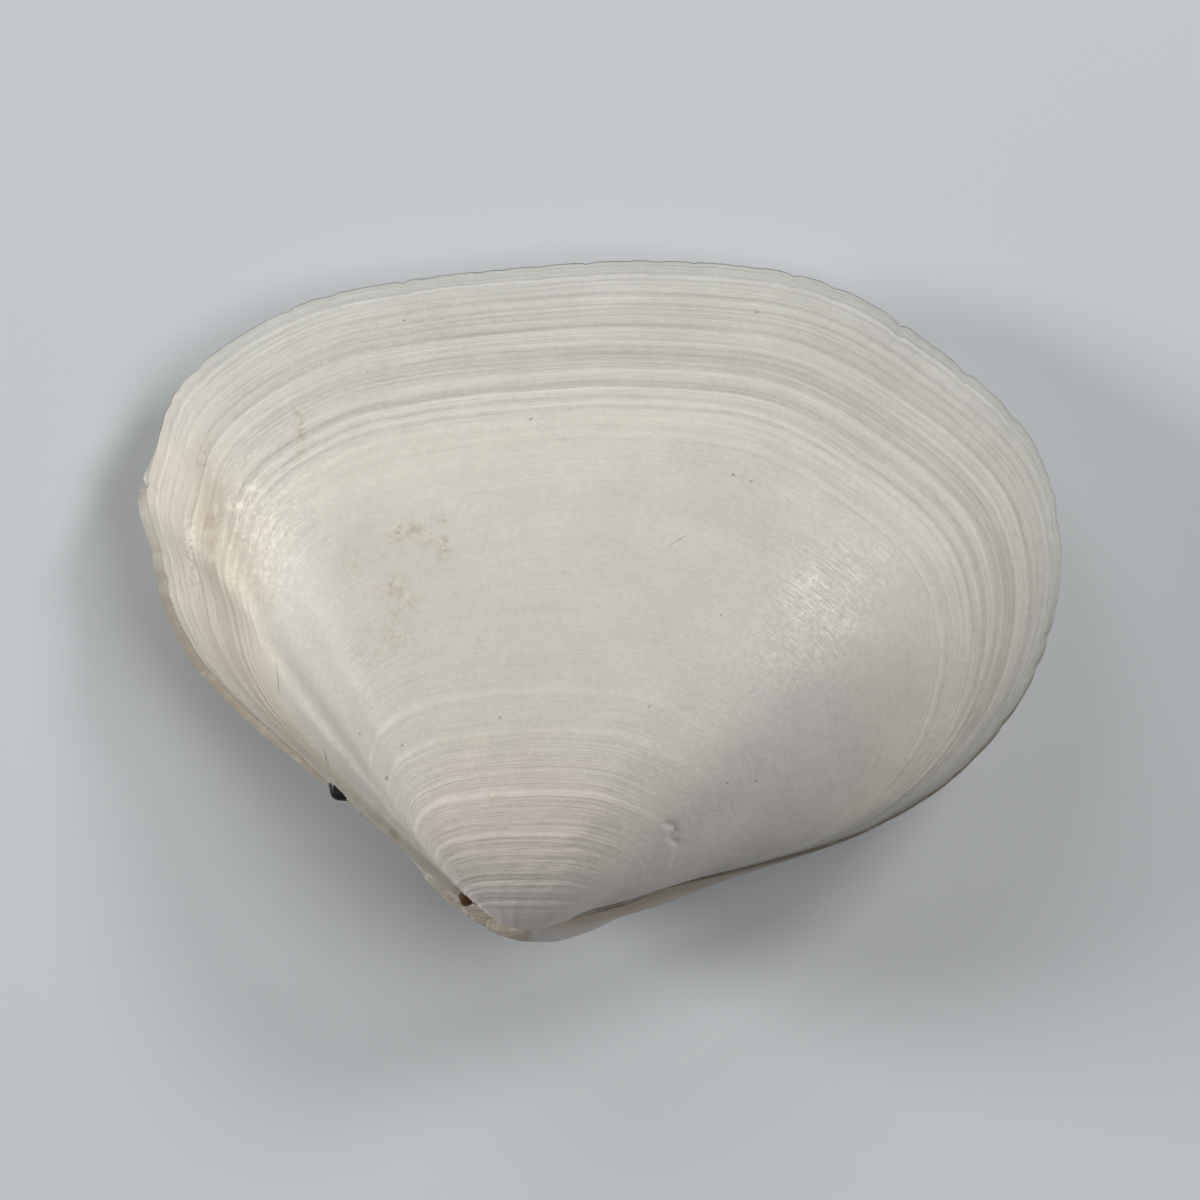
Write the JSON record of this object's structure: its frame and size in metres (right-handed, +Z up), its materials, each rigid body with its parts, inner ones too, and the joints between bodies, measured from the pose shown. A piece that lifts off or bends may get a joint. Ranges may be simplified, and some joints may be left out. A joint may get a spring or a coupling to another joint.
{
  "type": "bivalve seashell, both valves closed",
  "caption": "Closed bivalve seashell, longer than high, with rounded front, pinched and bent hind end, low growth ledges and a dark ligament behind the beaks.",
  "frame": {"origin": "middle of the small flat spot under the right valve that the shell rests on", "axes": "+X towards the shell's rounded front end, +Y towards the open edge and away from the beaks, +Z up, out of the left valve"},
  "size_m": [0.0601, 0.0443, 0.0234],
  "materials": {
    "left_valve": "satin",
    "right_valve": "satin",
    "ligament": "satin"
  },
  "bodies": {
    "root": {"left_valve": "left_valve", "right_valve": "right_valve", "ligament": "ligament"}
  },
  "joints": []
}
